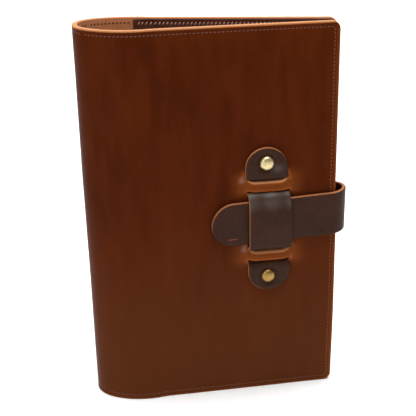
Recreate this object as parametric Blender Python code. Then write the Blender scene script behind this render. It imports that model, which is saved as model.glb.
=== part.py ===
"""Leather notebook cover with a wrap-round closure strap.

The cover stands on its bottom edges, as a closed book stands on a shelf.
+X runs from the spine to the fore edge, -Y is the front, +Z is up, and the origin
is the centre of the bounding box's bottom. Lengths are in metres.

One thick hide makes the front panel, the rounded spine and the back panel. The spine
is flexible, so it is cut into vertical strips that turn on each other at its outer face.
A keeper strap is laced through the front panel, and the closure strap is riveted to the
back, goes round the fore edge and is tucked under the keeper.
"""

import math

import bmesh
import bpy
from mathutils import Matrix, Vector

# The cover
HEIGHT = 0.222
WIDTH = 0.1421
LEATHER = 0.003
CORNER_RADIUS = 0.0065

# The outline of the closed cover, seen from above. It is the same on both sides of Y = 0.
KINK_X = 0.0408          # from the spine to the crease where the flat panels begin
KINK_Y = 0.01727         # half the thickness there
FORE_Y = 0.00588         # half the thickness at the fore edge
SPINE_HANDLE = 0.01805   # length of the outline's handle at the middle of the spine
KINK_HANDLE = 0.01352    # length in X of the outline's handle at the kink
KINK_SLOPE = 0.37
SPINE_STRIPS = 3

# Linings and stitching
POCKET_LEATHER = 0.0012
POCKET_LIP = 0.0094      # how far a pocket reaches past the kink, towards the spine
LIP_LEAN = 0.0023        # how far the lip's edge leans in
STITCH_INSET = 0.003
STITCH_WIDTH = 0.0008
STITCH_LIFT = 0.0002
STITCH_HEIGHT = 0.0003
STITCH_START = 0.002

# Keeper strap, laced through four slots
KEEPER_CENTRE_X = 0.1026
KEEPER_WIDTH = 0.024
KEEPER_LEATHER = 0.0022
KEEPER_REACH = 0.0439    # from mid height to the tip of each rounded tab
TAB_END = 0.0272         # where a tab dips into the outer slot
DIP_OUTER = 0.0246
DIP_INNER = 0.0164
LOOP_RISE = 0.0139       # where the loop reaches its full height over the closure strap
DIP_DEPTH = 0.0019
SLOT_OUTER = 0.0276
SLOT_INNER = 0.0141
SLOT_HALF_LENGTH = 0.0153
SLOT_TAPER = 0.0002      # a window's upper side is shorter by this at each end
BRIDGE_OUTER = 0.0240
BRIDGE_INNER = 0.0174
BRIDGE_HALF_TOP = 0.0124
BRIDGE_BULGE = 0.0024

# Closure strap
STRAP_WIDTH = 0.0254
STRAP_LEATHER = 0.0025
STRAP_LIFT = 0.0008      # clear of the stitching that it crosses
STRAP_TIP_X = 0.0708
STRAP_WRAP = 0.0067      # how far it stands out beyond the fore edge
STRAP_END_X = 0.084      # its rounded end on the back
STRAP_HINGES = 2

# Rivets
RIVET_RADIUS = 0.00415
RIVET_RIM = 0.0006
RIVET_DOME = 0.0014
POST_RADIUS = 0.0015
FLANGE_RADIUS = 0.0042
FLANGE_HEIGHT = 0.0008
FLANGE_RECESS = 0.001
KEEPER_RIVET_OFFSET = 0.0348
STRAP_RIVET_X = 0.096
STRAP_RIVET_OFFSET = 0.0065

GAP = 0.0003
BOOLEAN_OVERRUN = 0.004

HIDE = (0.085, 0.030, 0.014)
LINING = (0.040, 0.014, 0.010)
DARK_STRAP = (0.035, 0.018, 0.013)
BRASS = (0.60, 0.42, 0.16)
THREAD = (0.22, 0.10, 0.05)

MID_HEIGHT = HEIGHT / 2
PANEL_ANGLE = math.atan2(KINK_Y - FORE_Y, WIDTH - KINK_X)
PANEL_LENGTH = math.hypot(KINK_Y - FORE_Y, WIDTH - KINK_X)
COVER_TURN = math.pi + 2 * PANEL_ANGLE    # from closed to lying open and flat
STRIP_TURN = COVER_TURN / (SPINE_STRIPS + 1)
SHOULDER_TURN = (COVER_TURN - STRIP_TURN) / 2    # where a panel's shoulder meets the strips
STRAP_TURN = math.pi - 2 * PANEL_ANGLE

# The closure strap's turn round the fore edge is a round arc that meets both legs smoothly.
STRAP_MID = STRAP_LIFT + STRAP_LEATHER / 2
LEG_RADIUS = FORE_Y * math.cos(PANEL_ANGLE) + STRAP_MID
WRAP_EXTREME = WIDTH + STRAP_WRAP
TURN_CENTRE_X = WIDTH - (
    (LEG_RADIUS + STRAP_LEATHER / 2 - STRAP_WRAP) / (1 - math.sin(PANEL_ANGLE))
)
TURN_RADIUS = WRAP_EXTREME - STRAP_LEATHER / 2 - TURN_CENTRE_X
CENTRE_X = WRAP_EXTREME / 2


def clear_scene():
    for old in list(bpy.data.objects):
        bpy.data.objects.remove(old, do_unlink=True)


def material(name, colour, roughness, metallic=0.0):
    made = bpy.data.materials.new(name)
    made.use_nodes = True
    shader = made.node_tree.nodes["Principled BSDF"]
    shader.inputs["Base Color"].default_value = (*colour, 1.0)
    shader.inputs["Roughness"].default_value = roughness
    shader.inputs["Metallic"].default_value = metallic
    return made


def link(name, mesh, parent=None, finish=None, location=(0, 0, 0)):
    made = bpy.data.objects.new(name, mesh)
    bpy.context.scene.collection.objects.link(made)
    made.parent = parent
    made.location = location
    if finish:
        mesh.materials.append(finish)
    return made


def mesh_from(name, form):
    """A mesh with its faces turned out, from a bmesh, which is freed."""
    bmesh.ops.recalc_face_normals(form, faces=form.faces)
    mesh = bpy.data.meshes.new(name)
    form.to_mesh(mesh)
    form.free()
    return mesh


def extruded(name, outline, low, high, plane="xy"):
    """A closed prism: an outline in the named plane, run from low to high along the third axis."""
    place = {
        "xy": lambda a, b, c: (a, b, c),
        "xz": lambda a, b, c: (a, c, b),
        "yz": lambda a, b, c: (c, a, b),
    }[plane]
    form = bmesh.new()
    lower = [form.verts.new(place(a, b, low)) for a, b in outline]
    upper = [form.verts.new(place(a, b, high)) for a, b in outline]
    form.faces.new(lower)
    form.faces.new(upper)
    count = len(outline)
    for i in range(count):
        j = (i + 1) % count
        form.faces.new((lower[i], lower[j], upper[j], upper[i]))
    return mesh_from(name, form)


def turned(name, profile, sides=24):
    """A solid of revolution about Z. Its (radius, z) profile starts and ends on the axis."""
    form = bmesh.new()
    rings = []
    for radius, z in profile:
        if radius == 0:
            rings.append([form.verts.new((0, 0, z))])
            continue
        angles = [2 * math.pi * i / sides for i in range(sides)]
        circle = [(radius * math.cos(a), radius * math.sin(a), z) for a in angles]
        rings.append([form.verts.new(point) for point in circle])
    for one, two in zip(rings, rings[1:]):
        for i in range(sides):
            corners = [one[i % len(one)], one[(i + 1) % len(one)]]
            corners += [two[(i + 1) % len(two)], two[i % len(two)]]
            form.faces.new(list(dict.fromkeys(corners)))
    return mesh_from(name, form)


def smooth(obj):
    obj.data.shade_smooth()
    obj.data.set_sharp_from_angle(angle=math.radians(30))


def combine(target, tool, operation):
    """Adds a Boolean, whose tool is kept only as a guide."""
    tool.hide_render = True
    tool.display_type = "WIRE"
    step = target.modifiers.new(tool.name, "BOOLEAN")
    step.operation = operation
    step.object = tool
    step.solver = "EXACT"


def arc(centre, radius, start, end, steps):
    """Points on an arc, both ends included, with the angles in radians."""
    angles = [start + (end - start) * i / steps for i in range(steps + 1)]
    return [(centre[0] + radius * math.cos(a), centre[1] + radius * math.sin(a)) for a in angles]


# The frame of a panel: its X runs from the kink to the fore edge and its Z points out of the
# cover. Its Y runs along the height, from mid height, so one drawing serves both covers.


def hinge_of(side):
    """The point on the outer face where a cover's shoulder meets the spine's strips."""
    return spine_station(-side * SHOULDER_TURN)[0]


def panel_frame(word, side):
    """The cover's hinge as an empty, and the panel's frame on it. side is -1 for the front."""
    hinge = bpy.data.objects.new(f"{word}_hinge", None)
    hinge.location = (hinge_of(side).x - CENTRE_X, hinge_of(side).y, 0)
    along = Vector((math.cos(PANEL_ANGLE), -side * math.sin(PANEL_ANGLE), 0))
    out = Vector((math.sin(PANEL_ANGLE), side * math.cos(PANEL_ANGLE), 0))
    up = out.cross(along)
    frame = bpy.data.objects.new(f"{word}_frame", None)
    kink = Vector((KINK_X - CENTRE_X, side * KINK_Y, MID_HEIGHT))
    turn = Matrix((along, up, out)).transposed().to_4x4()
    frame.parent = hinge
    frame.matrix_local = Matrix.Translation(kink - hinge.location) @ turn
    for empty in (hinge, frame):
        bpy.context.scene.collection.objects.link(empty)
    return frame


def along_panel(x):
    """Distance along a panel of a point at x, both from the spine and from the kink."""
    return (x - KINK_X) / math.cos(PANEL_ANGLE)


def free_sides(inset, start):
    """The panel's bottom, fore and top sides as one path, at this inset from its edges."""
    reach = PANEL_LENGTH - inset
    half = MID_HEIGHT - inset
    radius = CORNER_RADIUS - inset
    path = [(start, -half)]
    path += arc((reach - radius, -half + radius), radius, -math.pi / 2, 0, 6)
    path += arc((reach - radius, half - radius), radius, 0, math.pi / 2, 6)
    path.append((start, half))
    return path


def panel_section(side):
    """A cover seen from above: the shoulder of the spine, the crease, then the flat panel."""
    outer, inner = [], []
    first = share_at_turn(SHOULDER_TURN)
    steps = 8
    panel_normal = Vector((math.sin(PANEL_ANGLE), math.cos(PANEL_ANGLE)))
    for i in range(steps + 1):
        share = first + (1 - first) * i / steps
        point = spine_curve(share)
        direction = spine_curve(share, slope=True).normalized()
        normal = Vector((-direction.y, direction.x))
        if i == 0:
            point += direction * GAP / 2
        depth = LEATHER
        if i == steps:
            middle = (normal + panel_normal).normalized()
            depth /= middle.dot(normal)
            normal = middle
        outer.append(point)
        inner.append(point - normal * depth)
    along = Vector((math.cos(PANEL_ANGLE), -math.sin(PANEL_ANGLE)))
    end = outer[-1] + along * (PANEL_LENGTH + BOOLEAN_OVERRUN)
    outer.append(end)
    inner.append(end - panel_normal * LEATHER)
    return [(p.x, side * p.y) for p in outer + inner[::-1]]


def make_panel(word, side, frame, finish, rivets):
    name = f"{word}_panel"
    hinge = hinge_of(side)
    section = [(x - hinge.x, y - hinge.y) for x, y in panel_section(side)]
    mesh = extruded(name, section, -BOOLEAN_OVERRUN, HEIGHT + BOOLEAN_OVERRUN)
    panel = link(name, mesh, frame.parent, finish)
    shape = extruded(f"{word}_outline", free_sides(0, -WIDTH), -WIDTH / 2, WIDTH / 2)
    combine(panel, link(f"{word}_outline", shape, frame), "INTERSECT")
    smooth(panel)
    for i, (along, up) in enumerate(rivets):
        drill(panel, f"{name}_hole_{i}", frame, along, up, POST_RADIUS + GAP, -LEATHER, 0)
        floor = -LEATHER + FLANGE_RECESS
        wide = FLANGE_RADIUS + GAP
        drill(panel, f"{name}_recess_{i}", frame, along, up, wide, -LEATHER, floor, blind=True)
    return panel


def drill(target, name, frame, along, up, radius, low, high, blind=False):
    """Cuts a round hole from low to high along the panel's normal. A blind one stops at high."""
    top = high if blind else high + BOOLEAN_OVERRUN
    foot = low - BOOLEAN_OVERRUN
    mesh = turned(name, [(0, foot), (radius, foot), (radius, top), (0, top)])
    combine(target, link(name, mesh, frame, location=(along, up, 0)), "DIFFERENCE")


def lace_slots(panel, frame):
    """Cuts the keeper's slots, and bulges the bridge between each pair over the hidden keeper."""
    centre = along_panel(KEEPER_CENTRE_X)
    half = SLOT_HALF_LENGTH
    for side, word in ((1, "upper"), (-1, "lower")):
        low, high = sorted((side * SLOT_INNER, side * SLOT_OUTER))
        window = [
            (centre - half, low),
            (centre + half, low),
            (centre + half - SLOT_TAPER, high),
            (centre - half + SLOT_TAPER, high),
        ]
        name = f"{word}_window"
        mesh = extruded(name, window, -LEATHER - BOOLEAN_OVERRUN, BOOLEAN_OVERRUN)
        combine(panel, link(name, mesh, frame), "DIFFERENCE")
        low, high = sorted((side * BRIDGE_INNER, side * BRIDGE_OUTER))
        mesh = extruded(f"{word}_bridge", bridge_outline(centre), low, high, plane="xz")
        combine(panel, link(f"{word}_bridge", mesh, frame), "UNION")


def bridge_outline(centre):
    """The bridge's cross-section: an arch whose feet are sunk in the panel."""
    foot = SLOT_HALF_LENGTH + 0.001
    sink = 0.0001
    outer = [(-foot, -sink), (-SLOT_HALF_LENGTH, -sink)]
    inner = [(-foot, sink - LEATHER), (-SLOT_HALF_LENGTH, sink - LEATHER)]
    steps = 5
    for i in range(1, steps + 1):
        share = i / steps
        x = -SLOT_HALF_LENGTH + share * (SLOT_HALF_LENGTH - BRIDGE_HALF_TOP)
        lift = BRIDGE_BULGE * (1 - math.cos(math.pi * share)) / 2
        outer.append((x, lift))
        inner.append((x, lift - LEATHER))
    outer += [(-x, z) for x, z in reversed(outer)]
    inner += [(-x, z) for x, z in reversed(inner)]
    return [(centre + x, z) for x, z in outer + inner[::-1]]


def make_pocket(name, frame, finish):
    """A thin lining stitched to the panel on three sides. Its free edge leans in past the kink."""
    top = -LEATHER - GAP - 0.0001
    mesh = extruded(name, free_sides(0, -POCKET_LIP), top - POCKET_LEATHER, top)
    form = bmesh.new()
    form.from_mesh(mesh)
    everything = form.verts[:] + form.edges[:] + form.faces[:]
    bmesh.ops.bisect_plane(form, geom=everything, plane_co=(0, 0, 0), plane_no=(1, 0, 0))
    for vert in form.verts:
        if vert.co.x < 0:
            vert.co.z += LIP_LEAN * vert.co.x / POCKET_LIP
    return link(name, mesh_from(name, form), frame, finish)


def make_stitching(name, frame, finish):
    """The row of thread round the three free sides, as one ribbon."""
    outline = free_sides(STITCH_INSET - STITCH_WIDTH / 2, STITCH_START)
    outline += free_sides(STITCH_INSET + STITCH_WIDTH / 2, STITCH_START)[::-1]
    mesh = extruded(name, outline, STITCH_LIFT, STITCH_LIFT + STITCH_HEIGHT)
    return link(name, mesh, frame, finish)


def offset_path(path, distance):
    """The path moved sideways by distance, to its left, with mitred corners."""
    moved = []
    for i, here in enumerate(path):
        before = path[max(i - 1, 0)]
        after = path[min(i + 1, len(path) - 1)]
        arrive = (Vector(here) - Vector(before)).normalized() if i else None
        leave = (Vector(after) - Vector(here)).normalized() if i < len(path) - 1 else None
        arrive = arrive or leave
        leave = leave or arrive
        normal = Vector((-arrive.y - leave.y, arrive.x + leave.x)).normalized()
        stretch = 1 / normal.dot(Vector((-arrive.y, arrive.x)))
        moved.append(tuple(Vector(here) + normal * distance * stretch))
    return moved


def make_keeper(frame, finish):
    """The keeper lies on the panel at its tabs, dips behind a bridge and rises into the loop."""
    tab = GAP + KEEPER_LEATHER / 2
    loop = STRAP_LIFT + STRAP_LEATHER + GAP + KEEPER_LEATHER / 2
    half = [
        (KEEPER_REACH, tab),
        (TAB_END, tab),
        (DIP_OUTER, -DIP_DEPTH),
        (DIP_INNER, -DIP_DEPTH),
        (LOOP_RISE, loop),
    ]
    path = half + [(-y, z) for y, z in reversed(half)]
    outline = offset_path(path, KEEPER_LEATHER / 2)
    outline += offset_path(path, -KEEPER_LEATHER / 2)[::-1]
    centre = along_panel(KEEPER_CENTRE_X)
    low, high = centre - KEEPER_WIDTH / 2, centre + KEEPER_WIDTH / 2
    mesh = extruded("keeper_strap", outline, low, high, plane="yz")
    keeper = link("keeper_strap", mesh, frame, finish)
    radius = KEEPER_WIDTH / 2
    shape = arc((centre, KEEPER_REACH - radius), radius, 0, math.pi, 12)
    shape += arc((centre, radius - KEEPER_REACH), radius, math.pi, 2 * math.pi, 12)
    deep = BOOLEAN_OVERRUN + 2 * LEATHER
    stadium = link("keeper_outline", extruded("keeper_outline", shape, -deep, deep), frame)
    combine(keeper, stadium, "INTERSECT")
    for i, side in enumerate((1, -1)):
        up = side * KEEPER_RIVET_OFFSET
        drill(keeper, f"keeper_hole_{i}", frame, centre, up, POST_RADIUS + GAP, 0, KEEPER_LEATHER)
    return keeper


def make_rivet(name, frame, along, up, top, finish):
    """A domed cap over what it holds, and the post and flange that it is set on."""
    dome = [(0, GAP), (RIVET_RADIUS, GAP), (RIVET_RADIUS, GAP + RIVET_RIM)]
    for i in range(1, 5):
        angle = math.pi / 2 * i / 4
        radius = RIVET_RADIUS * math.cos(angle) if i < 4 else 0
        dome.append((radius, GAP + RIVET_RIM + RIVET_DOME * math.sin(angle)))
    cap = link(f"{name}_cap", turned(f"{name}_cap", dome), frame, finish, (along, up, top))
    smooth(cap)
    low = -LEATHER - 0.0001
    post = [(0, low), (FLANGE_RADIUS, low), (FLANGE_RADIUS, low + FLANGE_HEIGHT)]
    post += [(POST_RADIUS, low + FLANGE_HEIGHT), (POST_RADIUS, top), (0, top)]
    smooth(link(f"{name}_post", turned(f"{name}_post", post), frame, finish, (along, up, 0)))


# The spine's outline, as a curve from the middle of the spine (share 0) to the kink (share 1).


def spine_curve(share, slope=False):
    """A point of the outline's back half, or the outline's direction there."""
    corners = [
        Vector((0, 0)),
        Vector((0, SPINE_HANDLE)),
        Vector((KINK_X - KINK_HANDLE, KINK_Y + KINK_HANDLE * KINK_SLOPE)),
        Vector((KINK_X, KINK_Y)),
    ]
    rest = 1 - share
    if slope:
        sides = [b - a for a, b in zip(corners, corners[1:])]
        return rest * rest * sides[0] + 2 * rest * share * sides[1] + share * share * sides[2]
    weights = (rest**3, 3 * rest * rest * share, 3 * rest * share * share, share**3)
    return sum((w * c for w, c in zip(weights, corners)), Vector((0, 0)))


def share_at_turn(turn):
    """Where the outline has turned this far from the middle of the spine."""
    low, high = 0.0, 1.0
    for _ in range(50):
        middle = (low + high) / 2
        direction = spine_curve(middle, slope=True)
        if math.pi / 2 - math.atan2(direction.y, direction.x) < turn:
            low = middle
        else:
            high = middle
    return (low + high) / 2


def spine_station(turn):
    """(outer point, unit normal) where the outline has turned this far; front turns are positive."""
    half = share_at_turn(abs(turn))
    point = spine_curve(half)
    direction = spine_curve(half, slope=True).normalized()
    side = -1 if turn > 0 else 1
    return Vector((point.x, side * point.y)), Vector((-direction.y, side * direction.x))


def make_spine_strip(number, finish):
    """One strip of the spine, with its origin on the hinge towards the back cover."""
    first = STRIP_TURN * (number - 1) - SHOULDER_TURN
    steps = 9
    outer, inner = [], []
    for i in range(steps + 1):
        point, normal = spine_station(first + STRIP_TURN * i / steps)
        ahead = Vector((-normal.y, normal.x))
        if i == 0:
            point = point + ahead * GAP / 2
        if i == steps:
            point = point - ahead * GAP / 2
        outer.append(point)
        inner.append(point - normal * LEATHER)
    hinge = spine_station(first)[0]
    outline = [(p - hinge).to_tuple() for p in outer + inner[::-1]]
    name = f"spine_strip_{number}"
    strip = link(name, extruded(name, outline, 0, HEIGHT), None, finish)
    strip.location = (hinge.x - CENTRE_X, hinge.y, 0)
    smooth(strip)


# The closure strap, as a path seen from above: the back leg, the turn, then the front leg.


def strap_outline(start, end, leg):
    """The strap's section from one turn angle to another. leg adds the back or the front leg."""
    inner_radius = TURN_RADIUS - STRAP_LEATHER / 2
    outer_radius = TURN_RADIUS + STRAP_LEATHER / 2
    centre = (TURN_CENTRE_X, 0)
    slack = GAP / 2 / TURN_RADIUS
    first = start - slack if leg != "back" else start
    last = end + slack if leg != "front" else end
    outer = arc(centre, outer_radius, first, last, 8)
    inner = arc(centre, inner_radius, first, last, 8)
    if leg:
        side = 1 if leg == "back" else -1
        length = TURN_CENTRE_X - (STRAP_END_X if leg == "back" else STRAP_TIP_X)
        along = Vector((-math.cos(PANEL_ANGLE), side * math.sin(PANEL_ANGLE))) * length * 1.02
        at = 0 if leg == "back" else len(outer)
        root = 0 if leg == "back" else -1
        outer.insert(at, (Vector(outer[root]) + along).to_tuple())
        inner.insert(at, (Vector(inner[root]) + along).to_tuple())
    return outer + inner[::-1]


def strap_hinge(number):
    """The point on the strap's outer face that hinge number 1 or 2 turns on."""
    angle = STRAP_TURN / STRAP_HINGES * (1.5 - number)
    radius = TURN_RADIUS + STRAP_LEATHER / 2
    return Vector((TURN_CENTRE_X + radius * math.cos(angle), radius * math.sin(angle)))


def make_closure_strap(back_frame, front_frame, finish):
    half_turn = STRAP_TURN / 2
    quarter = STRAP_TURN / 4
    low = MID_HEIGHT - STRAP_WIDTH / 2
    high = MID_HEIGHT + STRAP_WIDTH / 2
    pieces = (
        ("closure_strap_back", half_turn, quarter, "back", Vector((CENTRE_X, 0))),
        ("closure_strap_bend", quarter, -quarter, None, strap_hinge(1)),
        ("closure_strap_tongue", -quarter, -half_turn, "front", strap_hinge(2)),
    )
    made = {}
    for name, start, end, leg, pivot in pieces:
        outline = [(x - pivot.x, y - pivot.y) for x, y in strap_outline(start, end, leg)]
        strap = link(name, extruded(name, outline, low, high), None, finish)
        strap.location = (pivot.x - CENTRE_X, pivot.y, 0)
        made[name] = strap
    round_end(made["closure_strap_back"], back_frame, along_panel(STRAP_END_X))
    round_end(made["closure_strap_tongue"], front_frame, along_panel(STRAP_TIP_X))
    for i, side in enumerate((1, -1)):
        along = along_panel(STRAP_RIVET_X)
        up = side * STRAP_RIVET_OFFSET
        drill(
            made["closure_strap_back"],
            f"strap_hole_{i}",
            back_frame,
            along,
            up,
            POST_RADIUS + GAP,
            STRAP_LIFT,
            STRAP_LIFT + STRAP_LEATHER,
        )
    for strap in made.values():
        smooth(strap)


def round_end(strap, frame, end):
    """Rounds a leg's end with a half circle as wide as the strap."""
    radius = STRAP_WIDTH / 2
    shape = arc((end + radius, 0), radius, math.pi / 2, 3 * math.pi / 2, 12)
    far = end + 2 * WIDTH
    shape += [(far, -radius), (far, radius)]
    grow = 0.0002
    shape = [(x, y * (1 + grow / radius)) for x, y in shape]
    name = f"{strap.name}_end"
    combine(strap, link(name, extruded(name, shape, -WIDTH / 2, WIDTH / 2), frame), "INTERSECT")


def build():
    clear_scene()
    hide = material("hide", HIDE, 0.42)
    lining = material("lining", LINING, 0.55)
    dark = material("dark_strap", DARK_STRAP, 0.45)
    brass = material("brass", BRASS, 0.28, 1.0)
    thread = material("thread", THREAD, 0.7)
    front = panel_frame("front", -1)
    back = panel_frame("back", 1)
    keeper_along = along_panel(KEEPER_CENTRE_X)
    strap_along = along_panel(STRAP_RIVET_X)
    keeper_rivets = [(keeper_along, s * KEEPER_RIVET_OFFSET) for s in (1, -1)]
    strap_rivets = [(strap_along, s * STRAP_RIVET_OFFSET) for s in (1, -1)]
    front_panel = make_panel("front", -1, front, hide, keeper_rivets)
    lace_slots(front_panel, front)
    make_panel("back", 1, back, hide, strap_rivets)
    for number in range(1, SPINE_STRIPS + 1):
        make_spine_strip(number, hide)
    for frame, word in ((front, "front"), (back, "back")):
        make_pocket(f"{word}_pocket", frame, lining)
        make_stitching(f"{word}_edge_stitching", frame, thread)
    make_keeper(front, dark)
    make_closure_strap(back, front, dark)
    for word, (along, up) in zip(("upper", "lower"), keeper_rivets):
        make_rivet(f"keeper_rivet_{word}", front, along, up, GAP + KEEPER_LEATHER, brass)
    for word, (along, up) in zip(("lower", "upper"), strap_rivets):
        make_rivet(f"strap_rivet_{word}", back, along, up, STRAP_LIFT + STRAP_LEATHER, brass)


build()
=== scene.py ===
"""The looks of the leather notebook cover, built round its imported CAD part.

Lengths are in metres. The hide is drawn flat: s runs along its outer face from the middle of
the spine, positive on the front and negative on the back, v is the height above mid height,
and n is the height above the outer face. place() then wraps it round the cover's outline.
"""

import math

import bmesh
import bpy
import numpy as np
from mathutils import Matrix, Vector


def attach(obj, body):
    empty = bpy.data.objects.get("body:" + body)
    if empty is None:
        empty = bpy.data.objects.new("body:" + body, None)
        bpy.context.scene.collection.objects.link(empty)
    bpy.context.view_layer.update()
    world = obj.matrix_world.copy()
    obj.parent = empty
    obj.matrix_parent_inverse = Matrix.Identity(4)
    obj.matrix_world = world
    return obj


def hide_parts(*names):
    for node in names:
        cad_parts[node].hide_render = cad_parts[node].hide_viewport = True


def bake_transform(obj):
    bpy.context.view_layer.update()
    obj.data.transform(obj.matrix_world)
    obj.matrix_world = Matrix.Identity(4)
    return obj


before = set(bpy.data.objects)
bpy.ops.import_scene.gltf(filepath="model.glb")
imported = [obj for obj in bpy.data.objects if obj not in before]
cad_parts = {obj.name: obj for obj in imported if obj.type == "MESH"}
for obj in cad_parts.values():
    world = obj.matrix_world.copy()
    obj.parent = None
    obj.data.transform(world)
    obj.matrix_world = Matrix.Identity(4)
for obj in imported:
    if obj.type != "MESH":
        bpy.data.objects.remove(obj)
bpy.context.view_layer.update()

MM = 0.001

# The cover's outline, as in the CAD part. An x here is measured from the spine.
HEIGHT = 0.222
WIDTH = 0.1421
LEATHER = 0.003
CORNER_RADIUS = 0.0046   # the CAD part's 6.5 mm is a little rounder than the real corners
KINK_X = 0.0408          # the crease where the flat panels begin
KINK_Y = 0.01727         # half the thickness there
FORE_Y = 0.00588         # half the thickness at the fore edge
SPINE_HANDLE = 0.01805   # length of the outline's handle at the middle of the spine
KINK_HANDLE = 0.01352    # length in x of the outline's handle at the crease
KINK_SLOPE = 0.37
CREASE_SOFT = 0.004      # how far on each side of the crease it is softened
STRIPS = 3
CENTRE_X = 0.0744        # the frame's origin
MID = HEIGHT / 2
PANEL_ANGLE = math.atan2(KINK_Y - FORE_Y, WIDTH - KINK_X)
PANEL_LENGTH = math.hypot(KINK_Y - FORE_Y, WIDTH - KINK_X)
COVER_TURN = math.pi + 2 * PANEL_ANGLE
STRIP_TURN = COVER_TURN / (STRIPS + 1)

# How a real hide strays from that outline
SPINE_SWELL = 0.0008     # outwards, mostly near the top of the spine
SPINE_LIFT = 0.0006      # upwards, at the top of the spine
SPINE_REACH = (0.004, 0.045)     # from the spine's middle: where both begin to fade, and end
FORE_SWELL = 0.0010      # outwards, at the front's fore edge below the strap
FORE_REACH = 0.05

# Edges and stitches
EDGE_ROUND = 0.0004
WEAR_MARKS = [0.0006, 0.0011]    # lines near an edge, where its wear changes
TOP_BARE = (0.0005, 0.0009)      # the top edge's bare band: where it begins to fade, and ends
STITCH_INSET = 0.003
STITCH_PITCH = 0.0022
CUT_CLEARANCE = 0.0012   # no stitch's middle is nearer to a cut in the hide
GROOVE_DEPTH = 0.0003
GROOVE_WIDTH = 0.0006
OUTER_STITCH = (0.0019, 0.0007, 0.0006)     # length, width and height
WORN_STITCH = (0.0015, 0.0009, 0.0006)
LINING_STITCH = (0.0022, 0.0009, 0.0008)
OUTER_SLANT, WORN_SLANT, LINING_SLANT = 12, -20, -55     # in degrees
OUTER_SINK = 0.00026

# Keeper, its slots, and the bridges of hide between them. Heights are from mid height.
KEEPER_X = 0.1026
KEEPER_WIDTH = 0.024
KEEPER_LEATHER = 0.0022
KEEPER_REACH = 0.0439
KEEPER_RIVET = 0.0348
KEEPER_BEHIND = -0.0019  # the middle of its thickness where it runs behind a bridge
GAP = 0.0003
LOOP_SLACK = 0.0006      # how much higher than its tightest fit the loop stands
UPPER_TAB_SHORT = 0.0006
KEEPER_PINCH = 0.09      # how much narrower it is drawn where it dips through a slot
SLOT_HALF = 0.0122
SLOT_OUTER = 0.0272
SLOT_INNER = 0.0141
BRIDGE_OUTER = 0.0240
BRIDGE_INNER = 0.0174
BRIDGE_LIFT = 0.0029
LIP_BAND = 0.0012        # the part of a bridge's upper lip that is skived
LIP_BEVEL = 0.0010
LOWER_LIP_BARE = 0.0018  # on the lower bridge the loop has worn more of the lip bare

# How far the slots' lips sag in the middle and turn up at their ends, by height
LIP_ROWS = (-0.036, -0.0272, -0.0240, -0.0174, -0.0141, 0.0141, 0.0174, 0.0240, 0.0272, 0.036)
LIP_SAG = (0, 0.0007, 0.0010, 0.0017, 0, 0, 0, 0.0008, 0, 0)
LIP_RISE = (0, 0.0016, 0.0006, 0.0022, 0.0012, 0.0016, 0.0006, 0.0022, 0.0012, 0)

# How far the keeper strays towards the fore edge, by height
LEAN_ROWS = (-0.042, -0.020, 0.014, 0.026, 0.042, 0.050)
LEAN = (0.0006, 0.0008, 0.0007, -0.0007, -0.0010, 0)

# Closure strap
STRAP_WIDTH = 0.0254
STRAP_LEATHER = 0.0025
STRAP_LIFT = 0.0008
STRAP_TIP_X = 0.0708
STRAP_END_X = 0.084
STRAP_WRAP = 0.0067
STRAP_RIVET_X = 0.096
STRAP_RIVET_OFFSET = 0.0065
STRAP_ROUND = 0.0006     # the round of both straps' edges
BARE_LIT_EDGE = (0.0001, 0.00034)    # both straps' bare edges, drawn only on their lit sides, so partly a painted highlight: where they begin to fade, and end
BEND_HALF = 0.013        # the bend round the fore edge, half its length
END_TRIM = 0.00001       # a half-round end stops this far short, where it would come to a point
SCUFF = (-0.0688, -0.0073)       # its one scuff, along and across it

# How far the strap rises along its length, from its tip to the back
TILT_SPOTS = (-0.082, -0.0125, -0.004, 0.003, 0.012, 0.045)
TILT_RISE = (-0.0018, 0.0010, 0.0018, 0.0020, 0.0018, 0)

# Rivet caps, as radius and height from the dome's middle to the centre of the underside
CAP_PROFILE = (
    (0.0, 0.00225), (0.0009, 0.00222), (0.0018, 0.00212), (0.0026, 0.00194),
    (0.0032, 0.00170), (0.0036, 0.00142), (0.0039, 0.00108), (0.00408, 0.0007),
    (0.00415, 0.0003), (0.00410, 0.0), (0.0039, -0.0002), (0.0, -0.0002),
)
CAP_SCALE = 0.96         # the real caps are a little smaller than the CAD part's
CAP_SIDES = 48
KEEPER_CAP_SINK = 0.0003
STRAP_CAP_SINK = 0.0002
UPPER_CAP_DROP = 0.0005
LOWER_CAP_SHIFT = 0.0006

# Pockets
POCKET_LEATHER = 0.0012
POCKET_TOP = -0.0034
POCKET_TRIM = 0.0004     # how far inside the hide's outline a pocket ends
POCKET_ROUND = 0.0005
POCKET_LIP = 0.0094
LIP_LEAN = 0.0023

# Floor and camera
FLOOR_REACH = 8.0
FLOOR_DROP = 0.0002
CAMERA_TURN = (3.283, 22.507, 0.756)     # yaw, pitch and roll in degrees
CAMERA_AIM_X = 0.0710585
CAMERA_OFFSET = (-0.008167, 0.003152, 0.560042)     # from the eye to the aim: right, down, ahead
CAMERA_LENS = 84.06
CAMERA_SHIFT = -0.0409


# -------------------- outlines


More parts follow.
